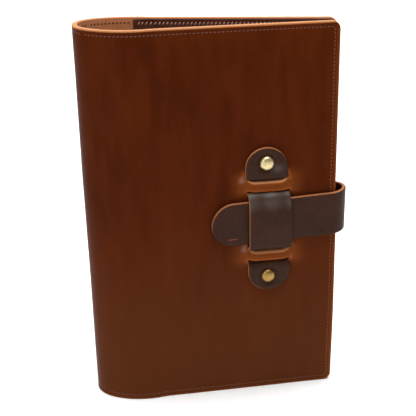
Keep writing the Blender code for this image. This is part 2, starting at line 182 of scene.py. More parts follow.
class Path:
    """A plan curve that is measured along its length, from a start value."""

    def __init__(self, points, start=None):
        points = np.array(points, float)
        steps = np.linalg.norm(np.diff(points, axis=0), axis=1)
        self.at = np.concatenate([[0.0], np.cumsum(steps)])
        if start is None:
            start = -self.at[-1] / 2
        self.at += start
        self.points = points
        slopes = np.gradient(points, self.at, axis=0)
        slopes /= np.linalg.norm(slopes, axis=1)[:, None]
        self.normals = np.stack([slopes[:, 1], -slopes[:, 0]], axis=1)

    def spot(self, s, n):
        """x and y of points at s along the path and n outside it."""
        x = np.interp(s, self.at, self.points[:, 0])
        y = np.interp(s, self.at, self.points[:, 1])
        a = np.interp(s, self.at, self.normals[:, 0])
        b = np.interp(s, self.at, self.normals[:, 1])
        size = np.hypot(a, b)
        return x + a / size * n, y + b / size * n


def bezier(corners, count):
    t = np.linspace(0, 1, count)[:, None]
    corners = [np.array(c, float) for c in corners]
    while len(corners) > 1:
        corners = [a + (b - a) * t for a, b in zip(corners, corners[1:])]
    return corners[0]


def cover_outline():
    """Half of the outer face from above, from the middle of the spine to the fore edge."""
    handle = (KINK_X - KINK_HANDLE, KINK_Y + KINK_HANDLE * KINK_SLOPE)
    spine = bezier([(0, 0), (0, SPINE_HANDLE), handle, (KINK_X, KINK_Y)], 1500)
    kink = spine[-1]
    near = np.linalg.norm(spine - kink, axis=1) < CREASE_SOFT
    along = np.array([math.cos(PANEL_ANGLE), -math.sin(PANEL_ANGLE)])
    crease = bezier([spine[~near][-1], kink, kink + along * CREASE_SOFT], 60)
    panel = kink + along * np.linspace(CREASE_SOFT, PANEL_LENGTH, 400)[:, None]
    half = np.concatenate([spine[~near][:-1], crease[:-1], panel])
    half[:, 0] -= CENTRE_X
    return half


HALF = cover_outline()
FRONT_HALF = HALF * (1, -1)
OUTLINE = Path(np.concatenate([HALF[::-1], FRONT_HALF[1:]]))
S_END = OUTLINE.at[-1]
S_KINK = S_END - PANEL_LENGTH


def along_panel(x):
    """How far along a cover's outer face a point is, from its x."""
    return S_KINK + (x - KINK_X) / math.cos(PANEL_ANGLE)


def ease(value, low, high):
    """A smooth step from 0 at low to 1 at high."""
    t = np.clip((value - low) / (high - low), 0, 1)
    return t * t * (3 - 2 * t)


def bell(value, width):
    """A smooth hump: 1 where the value is 0, and little beyond two widths."""
    return np.exp(-((value / width) ** 2))


def place(s, v, n):
    """Points of the hide, wrapped round the cover. v is measured up from mid height.

    The spine stands out a little more towards its top, and the front's fore edge below the strap.
    """
    x, y = OUTLINE.spot(s, n)
    spine = 1 - ease(np.abs(s), *SPINE_REACH)
    x = x - SPINE_SWELL * spine * (0.3 + 0.7 * ease(v, -0.10, 0.08))
    below_strap = ease(-v, -0.009, 0.009) * (1 - 0.5 * ease(-v, 0.06, 0.11))
    x = x + FORE_SWELL * below_strap * ease(s, S_END - FORE_REACH, S_END)
    z = v + MID + SPINE_LIFT * spine * ease(v, 0.03, MID)
    return np.stack([x, y, z], axis=-1)


def strap_path():
    """The middle of the closure strap's thickness, from the tip round the bend to the back.

    With it come the points where the bend ends on the back, and where it is halfway round.
    """
    middle = STRAP_LIFT + STRAP_LEATHER / 2
    leg = FORE_Y * math.cos(PANEL_ANGLE) + middle
    centre = WIDTH - (leg + STRAP_LEATHER / 2 - STRAP_WRAP) / (1 - math.sin(PANEL_ANGLE))
    radius = WIDTH + STRAP_WRAP - STRAP_LEATHER / 2 - centre
    half_turn = math.pi / 2 - PANEL_ANGLE
    angles = np.linspace(0, half_turn, 200)
    bend = np.stack([centre + radius * np.cos(angles), radius * np.sin(angles)], axis=1)
    back = np.array([-math.cos(PANEL_ANGLE), math.sin(PANEL_ANGLE)])
    front_length = (bend[-1][0] - STRAP_TIP_X) / math.cos(PANEL_ANGLE)
    back_length = (bend[-1][0] - STRAP_END_X) / math.cos(PANEL_ANGLE)
    front_leg = (bend[-1] + back * np.linspace(front_length, 0, 300)[:, None]) * (1, -1)
    back_leg = bend[-1] + back * np.linspace(0, back_length, 300)[:, None]
    points = np.concatenate([front_leg[:-1], bend[::-1] * (1, -1), bend[1:], back_leg[1:]])
    points[:, 0] -= CENTRE_X
    tangent = bend[-1] - (CENTRE_X, 0)
    middle = bend[0] - (CENTRE_X, 0)
    length = front_length + radius * half_turn
    return Path(points, -length), tangent, middle


STRAP, STRAP_TANGENT, STRAP_MIDDLE = strap_path()


# -------------------- grids


def quarter(radius):
    """Offsets from an edge that draw a quarter round of this radius."""
    return [radius * (1 - math.cos(a)) for a in np.radians([0, 22.5, 45, 67.5, 90])]


def rounding(distance, radius):
    """How far a face lies below its own level, this far inside a rounded edge."""
    short = np.clip(radius - distance, 0, radius)
    return radius - np.sqrt(np.maximum(radius * radius - short * short, 0))


def both(values):
    """Each value and its negative."""
    return [sign * value for value in values for sign in (1, -1)]


def fill(marks, pitch):
    """The marks and evenly spaced lines between them. pitch is a number or a function."""
    marks = sorted(set(round(float(m), 7) for m in marks))
    out = [marks[0]]
    for a, b in zip(marks, marks[1:]):
        step = pitch((a + b) / 2) if callable(pitch) else pitch
        count = max(1, math.ceil((b - a) / step - 1e-6))
        out += [a + (b - a) * i / count for i in range(1, count + 1)]
    return np.array(out)


def slab(name, a_lines, b_lines, warp, heights, put, finishes, keep=None, marks=None):
    """A closed sheet from a grid of lines. heights gives its two faces and put places them.

    Its three finishes are for the outer face, the cut edges and the inner face. keep says which
    cells there are, and marks holds the outer face's attributes, each a name and its function.
    """
    a, b = np.meshgrid(a_lines, b_lines, indexing="ij")
    a, b = warp(a, b)
    top, low = heights(a, b)
    rows, cols = a.shape
    total = rows * cols
    cell = np.ones((rows - 1, cols - 1), bool) if keep is None else keep(a, b)
    ringed = np.pad(cell, 1)
    i, j = np.nonzero(cell)
    one, two = i * cols + j, (i + 1) * cols + j
    three, four = two + 1, one + 1
    outer = np.stack([one, two, three, four], axis=1)
    inner = np.stack([four, three, two, one], axis=1) + total
    walls = []
    for open_side, start, end in (
        (~ringed[i + 1, j], two, one),
        (~ringed[i + 2, j + 1], three, two),
        (~ringed[i + 1, j + 2], four, three),
        (~ringed[i, j + 1], one, four),
    ):
        p, q = start[open_side], end[open_side]
        walls.append(np.stack([p, q, q + total, p + total], axis=1))
    walls = np.concatenate(walls)
    faces = np.concatenate([outer, walls, inner])
    kinds = np.repeat([0, 1, 2], [len(outer), len(walls), len(inner)])
    used, faces = np.unique(faces, return_inverse=True)
    faces = faces.reshape(-1, 4)
    spots = np.concatenate([put(a, b, top).reshape(-1, 3), put(a, b, low).reshape(-1, 3)])[used]
    mesh = bpy.data.meshes.new(name)
    mesh.from_pydata(spots.tolist(), [], faces.tolist())
    flat = np.stack([np.concatenate([(a + top).ravel(), (a + low).ravel()]),
                     np.concatenate([(b + top).ravel(), (b + low).ravel()])], axis=1)[used]
    layer = mesh.uv_layers.new(name="flat")
    layer.data.foreach_set("uv", flat[faces.ravel()].astype(np.float32).ravel())
    mesh.polygons.foreach_set("material_index", kinds.astype(np.int32))
    for mark, amount in (marks or {}).items():
        values = np.concatenate([amount(a, b).ravel(), np.zeros(total)])[used]
        layer = mesh.attributes.new(mark, "FLOAT", "POINT")
        layer.data.foreach_set("value", values.astype(np.float32))
    for finish in finishes:
        mesh.materials.append(finish)
    return shown(name, mesh)


def linked(name, data):
    """An object in the scene with this mesh, light or camera."""
    made = bpy.data.objects.new(name, data)
    bpy.context.scene.collection.objects.link(made)
    return made


def shown(name, mesh, sharp=40):
    """The mesh as a smooth-shaded object in the scene."""
    mesh.validate()
    mesh.shade_smooth()
    mesh.set_sharp_from_angle(angle=math.radians(sharp))
    return linked(name, mesh)


# -------------------- materials


class Finish:
    """A node material in the making. Its calls add nodes and join them."""

    def __init__(self, name):
        self.material = bpy.data.materials.new(name)
        self.material.use_nodes = True
        self.tree = self.material.node_tree
        self.shader = self.tree.nodes["Principled BSDF"]
        flat = self.tree.nodes.new("ShaderNodeUVMap")
        flat.uv_map = "flat"
        self.flat = flat.outputs[0]

    def join(self, value, socket):
        """Gives a socket its value, which is another node's output, a colour or a number."""
        if isinstance(value, bpy.types.NodeSocket):
            self.tree.links.new(value, socket)
        elif isinstance(value, tuple) and len(value) == 3 and socket.type == "RGBA":
            socket.default_value = (*value, 1)
        else:
            socket.default_value = value

    def node(self, kind, inputs, output=0, **settings):
        made = self.tree.nodes.new(kind)
        for key, value in settings.items():
            setattr(made, key, value)
        for key, value in inputs.items():
            self.join(value, made.inputs[key])
        return made.outputs[output]

    def stretched(self, vector, scale):
        return self.node("ShaderNodeMapping", {"Vector": vector, "Scale": scale})

    def noise(self, scale, detail, rough, vector=None, stretch=None):
        vector = vector or self.flat
        if stretch:
            vector = self.stretched(vector, stretch)
        inputs = {"Vector": vector, "Scale": scale, "Detail": detail, "Roughness": rough}
        return self.node("ShaderNodeTexNoise", inputs)

    def cells(self, scale, feature):
        inputs = {"Vector": self.flat, "Scale": scale}
        return self.node("ShaderNodeTexVoronoi", inputs, feature=feature)

    def span(self, value, low, high, to_low=0.0, to_high=1.0):
        """The value, eased from its own range into another."""
        inputs = {"Value": value, "From Min": low, "From Max": high}
        inputs.update({"To Min": to_low, "To Max": to_high})
        return self.node("ShaderNodeMapRange", inputs, interpolation_type="SMOOTHSTEP")

    def sums(self, operation, one, two):
        return self.node("ShaderNodeMath", {0: one, 1: two}, operation=operation)

    def mix(self, share, one, two):
        """Colour one, with this share of colour two."""
        made = self.tree.nodes.new("ShaderNodeMix")
        made.data_type = "RGBA"
        self.join(share, made.inputs[0])
        self.join(one, made.inputs[6])
        self.join(two, made.inputs[7])
        return made.outputs[2]

    def times(self, one, two):
        return self.sums("MULTIPLY", one, two)

    def patch(self, centre, reach):
        """A soft spot on the flat sheet: 1 at its centre and 0 beyond its reach."""
        near = None
        for axis in (0, 1):
            along = self.node("ShaderNodeSeparateXYZ", {"Vector": self.flat}, axis)
            off = self.sums("ABSOLUTE", self.sums("SUBTRACT", along, centre[axis]), 0.0)
            share = self.span(off, reach[axis] * 0.4, reach[axis], 1.0, 0.0)
            near = share if near is None else self.times(near, share)
        return near

    def attribute(self, name):
        made = self.tree.nodes.new("ShaderNodeAttribute")
        made.attribute_name = name
        return made.outputs["Fac"]

    def bump(self, height, strength, distance, normal=None):
        inputs = {"Height": height, "Strength": strength, "Distance": distance}
        if normal is not None:
            inputs["Normal"] = normal
        return self.node("ShaderNodeBump", inputs)

    def done(self, **inputs):
        """Joins the shader's own inputs, and gives the finished material."""
        for key, value in inputs.items():
            self.join(value, self.shader.inputs[key.replace("_", " ")])
        return self.material


def cover_leather():
    """Reddish brown pull-up hide: fine pores, cloudy colour, worn lighter where it is rubbed, and
    painted lighter and browner towards the bottom as painted light bounced off the floor.
    """
    f = Finish("cover_leather")
    clouds = f.span(f.noise(26, 4, 0.6, stretch=(1.0, 0.45, 1.0)), 0.3, 0.72)
    streaks = f.span(f.noise(150, 3, 0.5, stretch=(1.0, 0.22, 1.0)), 0.35, 0.7)
    mottle = f.span(f.noise(520, 4, 0.6), 0.3, 0.75)
    colour = f.mix(clouds, (0.053, 0.0084, 0.0013), (0.076, 0.0132, 0.0021))
    colour = f.mix(f.times(streaks, 0.35), colour, (0.095, 0.0180, 0.0030))
    colour = f.mix(f.times(mottle, 0.2), colour, (0.040, 0.0062, 0.0012))
    # painted light: lighter and browner towards the bottom, standing in for light bounced up from the
    # pale floor
    height = f.node("ShaderNodeSeparateXYZ", {"Vector": f.flat}, 1)
    colour = f.mix(f.span(height, -0.10, 0.03, 0.6, 0.0), colour, (0.088, 0.0262, 0.0078))
    rub = f.attribute("rub")
    broken = f.times(f.sums("MINIMUM", rub, 1.0), f.span(mottle, 0.0, 1.0, 0.75, 1.0))
    worn, bare = (0.29, 0.074, 0.014), (0.42, 0.178, 0.076)
    colour = f.mix(broken, colour, worn)
    colour = f.mix(f.span(rub, 1.1, 1.7), colour, bare)
    grain = f.cells(1500, "SMOOTH_F1")
    pores = f.noise(3400, 2, 0.5)
    slow = f.noise(210, 3, 0.5)
    normal = f.bump(grain, 0.16, 0.00012)
    normal = f.bump(pores, 0.10, 0.00008, normal)
    normal = f.bump(slow, 0.22, 0.0006, normal)
    rough = f.span(f.noise(900, 3, 0.6), 0.3, 0.7, 0.34, 0.46)
    shine = f.span(f.attribute("shine"), 0.0, 1.0, 0.02, 0.6)
    return f.done(Base_Color=colour, Roughness=rough, Normal=normal, Specular_IOR_Level=shine)


def cut_edge(name, dark, light):
    """A burnished cut edge: the hide's fibres in fine layers along the edge."""
    f = Finish(name)
    fibres = f.span(f.noise(900, 4, 0.7), 0.3, 0.75)
    blotch = f.span(f.noise(160, 3, 0.5), 0.35, 0.7)
    colour = f.mix(fibres, dark, light)
    colour = f.mix(f.times(blotch, 0.35), colour, dark)
    normal = f.bump(fibres, 0.35, 0.00015)
    f.shader.inputs["Specular IOR Level"].default_value = 0.3
    return f.done(Base_Color=colour, Roughness=0.6, Normal=normal)


def flesh_side():
    """The napped inner face of the hide."""
    f = Finish("flesh_side")
    nap = f.span(f.noise(1600, 5, 0.75), 0.25, 0.8)
    blotch = f.span(f.noise(120, 4, 0.6), 0.3, 0.75)
    colour = f.mix(nap, (0.40, 0.130, 0.046), (0.80, 0.34, 0.150))
    colour = f.mix(f.times(blotch, 0.5), colour, (0.50, 0.175, 0.066))
    normal = f.bump(nap, 0.6, 0.0003)
    f.shader.inputs["Sheen Weight"].default_value = 0.15
    f.shader.inputs["Specular IOR Level"].default_value = 0.2
    return f.done(Base_Color=colour, Roughness=0.85, Normal=normal)


def strap_leather(name, base, light, grain_scale=900.0, scuff=None):
    """Dark strap leather with a pebbled grain, and one short scuff if its place is given."""
    f = Finish(name)
    pebbles = f.cells(grain_scale, "SMOOTH_F1")
    creases = f.span(f.cells(grain_scale * 0.8, "DISTANCE_TO_EDGE"), 0.0, 0.25)
    clouds = f.span(f.noise(70, 4, 0.6), 0.3, 0.7)
    colour = f.mix(clouds, base, light)
    # painted shade: the grain's creases are darkened towards near black, standing in for the shade in
    # them
    crease_shade = f.times(f.span(creases, 0, 1, 1, 0), 0.35)
    colour = f.mix(crease_shade, colour, (0.008, 0.004, 0.003))
    normal = f.bump(pebbles, 0.35, 0.0002)
    normal = f.bump(creases, 0.25, 0.00015, normal)
    normal = f.bump(f.noise(260, 3, 0.5), 0.25, 0.0005, normal)
    rough = f.span(f.noise(700, 3, 0.6), 0.3, 0.7, 0.38, 0.52)
    shine = f.span(f.attribute("shine"), 0.0, 1.0, 0.09, 0.75)
    # bare cut edge colour, partly a painted highlight: the bare mark is laid only along the straps'
    # lit edges
    colour = f.mix(f.attribute("bare"), colour, (0.30, 0.108, 0.040))
    if scuff:
        colour = f.mix(f.patch(scuff, (0.0036, 0.0005)), colour, (0.16, 0.045, 0.018))
    return f.done(Base_Color=colour, Roughness=rough, Normal=normal, Specular_IOR_Level=shine)


def thread_finish(name, dark, light):
    """Waxed thread: two plies twisted together."""
    f = Finish(name)
    inputs = {"Vector": f.flat, "Scale": 700.0, "Distortion": 1.0, "Detail": 1.0}
    plies = f.node("ShaderNodeTexWave", inputs, 1, bands_direction="DIAGONAL")
    wax = f.span(f.noise(500, 3, 0.6), 0.3, 0.7)
    colour = f.mix(plies, dark, light)
    colour = f.mix(f.times(wax, 0.4), colour, dark)
    normal = f.bump(plies, 0.4, 0.0001)
    f.shader.inputs["Specular IOR Level"].default_value = 0.2
    return f.done(Base_Color=colour, Roughness=0.55, Normal=normal)


def brass_finish(name, light, dark):
    """Lacquered brass, turned, with fine scratches and a little tarnish."""
    f = Finish(name)
    place_in = f.node("ShaderNodeTexCoord", {}, "Object")
    scratches = f.noise(2600, 3, 0.6, place_in, (1.0, 1.0, 6.0))
    tarnish = f.span(f.noise(650, 4, 0.65, place_in), 0.35, 0.75)
    colour = f.mix(tarnish, light, dark)
    rough = f.span(scratches, 0.3, 0.7, 0.34, 0.48)
    normal = f.bump(scratches, 0.12, 0.00006)
    return f.done(Base_Color=colour, Metallic=1.0, Roughness=rough, Normal=normal)


def floor_finish():
    """Plain white paper."""
    f = Finish("white_floor")
    place_in = f.node("ShaderNodeTexCoord", {}, "Object")
    tone = f.span(f.noise(3, 2, 0.5, place_in), 0.3, 0.7)
    colour = f.mix(tone, (0.93, 0.93, 0.93), (0.95, 0.95, 0.95))
    return f.done(Base_Color=colour, Roughness=0.9)


HIDE = cover_leather()
HIDE_EDGE = cut_edge("hide_edge", (0.42, 0.168, 0.068), (0.70, 0.350, 0.170))
STRAP_EDGE = cut_edge("strap_edge", (0.26, 0.088, 0.030), (0.50, 0.200, 0.080))
FLESH = flesh_side()
DARK = strap_leather("strap_leather", (0.035, 0.0128, 0.0062), (0.047, 0.0178, 0.0092), scuff=SCUFF)
POCKET = strap_leather("pocket_leather", (0.085, 0.025, 0.014), (0.13, 0.042, 0.024), 1200.0)
POCKET_EDGE = cut_edge("pocket_edge", (0.07, 0.025, 0.012), (0.15, 0.06, 0.03))
THREAD = thread_finish("outer_thread", (0.085, 0.026, 0.014), (0.20, 0.072, 0.042))
INNER_THREAD = thread_finish("inner_thread", (0.30, 0.13, 0.08), (0.62, 0.34, 0.25))
WORN_THREAD = thread_finish("worn_thread", (0.05, 0.016, 0.008), (0.12, 0.045, 0.025))
BRASS = brass_finish("brass", (0.70, 0.59, 0.33), (0.52, 0.40, 0.18))
# painted shade: a darker copy of the brass for the lower keeper cap, standing in for the shade it
# sits in
SHADED_BRASS = brass_finish("shaded_brass", (0.36, 0.22, 0.065), (0.26, 0.15, 0.042))


# -------------------- the hide

KEEPER_S = along_panel(KEEPER_X)
BRIDGE_MID = (BRIDGE_OUTER + BRIDGE_INNER) / 2
BRIDGE_HALF = (BRIDGE_OUTER - BRIDGE_INNER) / 2


def edge_distance(s, v):
    """Distance in from the hide's outline, with its four rounded corners."""
    x = np.abs(s) - (S_END - CORNER_RADIUS)
    y = np.abs(v) - (MID - CORNER_RADIUS)
    outside = np.hypot(np.maximum(x, 0), np.maximum(y, 0))
    return CORNER_RADIUS - outside - np.minimum(np.maximum(x, y), 0)


def slot_distance(s, v):
    """Distance from the nearest slot, on the front."""
    x = np.abs(s - KEEPER_S) - SLOT_HALF
    best = np.full(np.shape(s), 1.0)
    for low, high in ((BRIDGE_OUTER, SLOT_OUTER), (SLOT_INNER, BRIDGE_INNER)):
        y = np.abs(np.abs(v) - (low + high) / 2) - (high - low) / 2
        best = np.minimum(best, np.hypot(np.maximum(x, 0), np.maximum(y, 0)))
    return best


def bulge(s, v):
    """How far the front is pushed out by the keeper that runs behind it."""
    u = np.abs(s - KEEPER_S)
    across = 1 - ease(u, 0.0075, 0.0215)
    off = np.abs(np.abs(v) - BRIDGE_MID) - BRIDGE_HALF
    reach = 1 - ease(np.maximum(off, 0), -0.0005, 0.0058)
    crown = 1 - 0.10 * np.clip((np.abs(v) - BRIDGE_MID) / BRIDGE_HALF, -1, 1) ** 2
    beside = reach * ease(u, 0.0062, SLOT_HALF + 0.001)
    over_slots = np.where(off < BRIDGE_HALF * 0.35, crown, beside)
    return BRIDGE_LIFT * across * np.where(u < SLOT_HALF, over_slots, reach * crown)


def wave(s, v):
    """The slow unevenness of a real hide."""
    slow = np.sin(s * 47 + v * 21 + 0.6) * np.sin(v * 38 - s * 11 + 1.1)
    fine = np.sin(s * 118 - v * 67) * np.sin(v * 97 + s * 33 + 2.0)
    return 0.00013 * slow + 0.00004 * fine


def hide_level(s, v):
    """The height of the hide's outer face, before its edges and grooves."""
    front = s > S_KINK
    return wave(s, v) + np.where(front, bulge(s, v), 0)


def groove(distance):
    """The depth of the groove that the stitches lie in."""
    return GROOVE_DEPTH * bell(distance - STITCH_INSET, GROOVE_WIDTH)


def upper_lip(s, v):
    """Distance in from the upper lip of the nearest bridge, and 1 elsewhere."""
    on_lip = (s > S_KINK) & (np.abs(s - KEEPER_S) < SLOT_HALF + 0.0008)
    best = np.full(np.shape(s), 1.0)
    for lip in (BRIDGE_OUTER, -BRIDGE_INNER):
        below = lip - v
        here = on_lip & (below > -1e-6) & (below < BRIDGE_HALF)
        best = np.where(here, np.maximum(below, 0), best)
    return best


def hide_heights(s, v):
    """The heights of the hide's outer and inner faces."""
    edge = edge_distance(s, v)
    near = np.where(s > S_KINK, np.minimum(edge, slot_distance(s, v)), edge)
    level = hide_level(s, v)
    top = level - rounding(near, EDGE_ROUND) - groove(edge)
    top = top - LIP_BEVEL * np.clip(1 - upper_lip(s, v) / LIP_BAND, 0, 1) ** 1.5
    low = level - LEATHER + rounding(near, EDGE_ROUND)
    return top, low


def hide_warp(s, v):
    """Draws the grid in where the corners are rounded."""
    over = np.clip(np.abs(s) - (S_END - CORNER_RADIUS), 0, CORNER_RADIUS)
    drop = CORNER_RADIUS - np.sqrt(np.maximum(CORNER_RADIUS**2 - over**2, 0))
    return s, v * (1 - drop / MID)


def lip_shift(s, v):
    """How far the bridges' lips are drawn down by the pull of the keeper.

    They sag in the middle and turn up at the ends of the slots.
    """
    u = np.abs(s - KEEPER_S)
    sag = np.interp(v, LIP_ROWS, LIP_SAG) * (1 - ease(u, 0.0095, 0.0205))
    rise = np.interp(v, LIP_ROWS, LIP_RISE) * bell(u - SLOT_HALF, 0.0026)
    return np.where(s > S_KINK, rise - sag, 0)


def lean(v):
    """How far towards the fore edge the laced keeper strays, at this height."""
    return np.interp(v, LEAN_ROWS, LEAN)


def place_front(s, v, n):
    """The front of the hide, with the lips of its slots drawn to their real shape."""
    near = 1 - ease(np.abs(s - KEEPER_S), 0.0135, 0.023)
    return place(s + lean(v) * near, v + lip_shift(s, v), n)


def hide_keep(a, b):
    """The grid's cells that aren't in a slot."""
    s = (a[:-1, :-1] + a[1:, 1:]) / 2
    v = (b[:-1, :-1] + b[1:, 1:]) / 2
    return ~((slot_distance(s, v) <= 0) & (s > S_KINK))


def hide_rub(s, v):
    """How much lighter the hide is worn or stretched: up to 1, and 2 where it is skived bare."""
    edge = edge_distance(s, v)
    top = ease(v, MID - 0.004, MID - 0.002)
    rub = (0.55 - 0.5 * top) * bell(edge, 0.0006) + (0.08 - 0.05 * top) * np.exp(-edge / 0.004)
    fore = np.clip(S_END - np.abs(s), 0, None)
    rub += 0.25 * bell(fore, 0.002)
    rub += 0.03 * bell(s, 0.014)
    u = np.abs(s - KEEPER_S)
    off = np.maximum(np.abs(np.abs(v) - BRIDGE_MID) - BRIDGE_HALF, 0)
    halo = bell(off, 0.0045) * (1 - ease(u, 0.012, 0.024))
    rub += np.where(s > S_KINK, 0.42 * halo + 0.5 * bell(slot_distance(s, v), 0.0012), 0)
    rub = np.clip(rub, 0, 1)
    band = np.where(v > 0, LIP_BAND, LOWER_LIP_BARE)
    bare = 1 - ease(upper_lip(s, v), band * 0.6, band * 1.1)
    bare *= 1 - ease(u, SLOT_HALF - 0.0022, SLOT_HALF + 0.0002)
    bare = np.maximum(bare, 1 - ease(MID - v, *TOP_BARE))
    return rub + (2 - rub) * bare


def hide_shine(s, v):
    """Where the hide is stretched tight and shines: beside the ends of the bridges' upper lips."""
    u = s - KEEPER_S
    total = np.zeros(np.shape(s))
    for lip in (BRIDGE_OUTER, -BRIDGE_INNER):
        off = (v - lip) / 0.0020
        total += np.exp(-(((u + SLOT_HALF + 0.0022) / 0.0018) ** 2 + off**2))
        total += 0.3 * np.exp(-(((u - SLOT_HALF - 0.0016) / 0.0014) ** 2 + off**2))
    return np.where(s > S_KINK, total, 0)


def groove_marks():
    """Lines across the groove, as distances in from the edge."""
    return [STITCH_INSET + d for d in (-0.001, -0.0005, 0, 0.0005, 0.001)]


def hide_rows(fine):
    """The grid's lines up the hide. fine adds those round the slots."""
    edge = quarter(EDGE_ROUND) + groove_marks() + WEAR_MARKS
    marks = [0.0] + both(MID - d for d in edge)
    if not fine:
        return fill(marks, 0.006)
    offsets = quarter(EDGE_ROUND)
    lips = offsets + [0.0008, 0.0012]
    near, far = 0.008, 0.034
    marks += both([SLOT_OUTER + d for d in offsets] + [SLOT_INNER - d for d in offsets])
    marks += both([BRIDGE_OUTER - d for d in lips] + [BRIDGE_INNER + d for d in lips])
    marks += both([far, near])
    return fill(marks, lambda v: 0.0008 if near < abs(v) < far else 0.004)


def hide_columns(start, end, fine):
    """The grid's lines along the hide, from start to end. fine adds those round the slots."""
    around, bent = 0.024, S_KINK + 0.006
    sharp = quarter(EDGE_ROUND) + groove_marks() + WEAR_MARKS
    marks = [start, end] + both(S_END - d for d in sharp)
    if fine:
        slot = [SLOT_HALF + d for d in quarter(EDGE_ROUND)]
        marks += [KEEPER_S + d for d in both(slot + [around])]
    marks += both([S_END - CORNER_RADIUS, S_KINK - 0.006, bent])
    marks = [m for m in marks if start - 1e-9 <= m <= end + 1e-9]

    def pitch(s):
        if abs(s) < bent or S_END - abs(s) < CORNER_RADIUS:
            return 0.0006
        if fine and abs(s - KEEPER_S) < around:
            return 0.0008
        return 0.005

    return fill(marks, pitch)


def s_of_turn(turn):
    """Where along the outline the hide has turned this far from the spine's middle."""
    normals = OUTLINE.normals
    turns = np.unwrap(np.arctan2(normals[:, 1], -normals[:, 0]))
    turns = turns - np.interp(0, OUTLINE.at, turns)
    if turns[-1] < turns[0]:
        turns = -turns
    inside = np.abs(OUTLINE.at) < S_KINK - 0.01
    return float(np.interp(turn, turns[inside], OUTLINE.at[inside]))


CUTS = [-S_END] + [s_of_turn(STRIP_TURN * k) for k in (-1, 0, 1)] + [S_END]


def outer_spot(s):
    """A point of the outer face at mid height."""
    return tuple(float(x) for x in place(s, 0.0, 0.0))


def bend_ends(k):
    """Where the hide's piece k starts and stops turning from one body to the next."""
    start = -S_KINK if k == 0 else CUTS[k]
    end = S_KINK if k == STRIPS else CUTS[k + 1]
    return outer_spot(start), outer_spot(end)


def follow_hide(piece, k):
    """Bakes the place of something on the hide's piece k into its mesh."""
    start, end = bend_ends(k)
    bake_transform(piece)


def make_hide():
    """The hide in four pieces, cut where one body hands over to the next."""
    for k in range(STRIPS + 1):
        fine = k == STRIPS
        piece = slab(
            f"hide_{k + 1}",
            hide_columns(CUTS[k], CUTS[k + 1], fine),
            hide_rows(fine),
            hide_warp,
            hide_heights,
            place_front if fine else place,
            (HIDE, HIDE_EDGE, FLESH),
            hide_keep if fine else None,
            {"rub": hide_rub, "shine": hide_shine},
        )
        follow_hide(piece, k)
    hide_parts("back_panel")
    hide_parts("spine_strip_1")
    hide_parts("spine_strip_2", "spine_strip_3")
    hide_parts("front_panel")


# -------------------- stitches


def stitch_line():
    """The centres and directions of the stitches round the front half, in s and v."""
    reach = S_END - STITCH_INSET
    top = MID - STITCH_INSET
    radius = CORNER_RADIUS - STITCH_INSET
    corner = [(reach - radius + radius * math.sin(a), top - radius + radius * math.cos(a))
              for a in np.linspace(0, math.pi / 2, 9)]
    upper = [(0.0, top)] + corner
    path = np.array(upper + [(s, -v) for s, v in reversed(upper)])
    at = np.concatenate([[0], np.cumsum(np.linalg.norm(np.diff(path, axis=0), axis=1))])
    count = round(at[-1] / STITCH_PITCH)
    middles = (np.arange(count) + 0.5) * at[-1] / count
    step = 0.0003

    def along(distances):
        return np.stack([np.interp(distances, at, path[:, i]) for i in (0, 1)], axis=1)

    way = along(middles + step) - along(middles - step)
    return along(middles), way / np.linalg.norm(way, axis=1)[:, None]


def bead(length, width, height):
    """A long rounded bead as points and faces. Its ends dive under the surface it lies on."""
    rings, sides = 7, 8
    points = []
    for i in range(rings):
        along = -1 + 2 * i / (rings - 1)
        full = math.sqrt(max(1 - abs(along) ** 3, 0.04))
        sink = -0.5 * height * abs(along) ** 4
        for j in range(sides):
            angle = 2 * math.pi * j / sides
            across = width / 2 * full * math.cos(angle)
            up = height / 2 * full * math.sin(angle) + sink
            points.append((along * length / 2, across, up))
    faces = []
    for i in range(rings - 1):
        for j in range(sides):
            k = (j + 1) % sides
            faces.append((i * sides + j, (i + 1) * sides + j, (i + 1) * sides + k, i * sides + k))
    first = tuple(range(sides))
    last = tuple((rings - 1) * sides + j for j in reversed(range(sides)))
    return np.array(points), faces, (first, last)


def stitches(name, here, way, level, slant, size, finish, outward=1):
    """One mesh of stitches. level gives the surface's height at each of them.

    size is their length, width and height, and outward is -1 on an inner face.
    """
    points, faces, caps = bead(*size)
    turn = math.radians(slant)
    along = points[:, 0] * math.cos(turn) - points[:, 1] * math.sin(turn)
    across = points[:, 0] * math.sin(turn) + points[:, 1] * math.cos(turn)
    side = np.stack([-way[:, 1], way[:, 0]], axis=1)
    a = here[:, None, 0] + way[:, None, 0] * along + side[:, None, 0] * across
    b = here[:, None, 1] + way[:, None, 1] * along + side[:, None, 1] * across
    n = level[:, None] + outward * points[None, :, 2]
    spots = place(a, b, n).reshape(-1, 3)
    count = len(points)
    all_faces = []
    for k in range(len(here)):
        start = k * count
        for face in list(faces) + list(caps):
            all_faces.append([start + i for i in face])
    mesh = bpy.data.meshes.new(name)
    mesh.from_pydata(spots.tolist(), [], all_faces)
    form = bmesh.new()
    form.from_mesh(mesh)
    bmesh.ops.recalc_face_normals(form, faces=form.faces)
    form.to_mesh(mesh)
    form.free()
    layer = mesh.uv_layers.new(name="flat")
    corners = np.zeros(len(mesh.loops), np.int32)
    mesh.loops.foreach_get("vertex_index", corners)
    flat = np.stack([a.ravel(), b.ravel()], axis=1)
    layer.data.foreach_set("uv", flat[corners].astype(np.float32).ravel())
    mesh.materials.append(finish)
    return shown(name, mesh, 60)


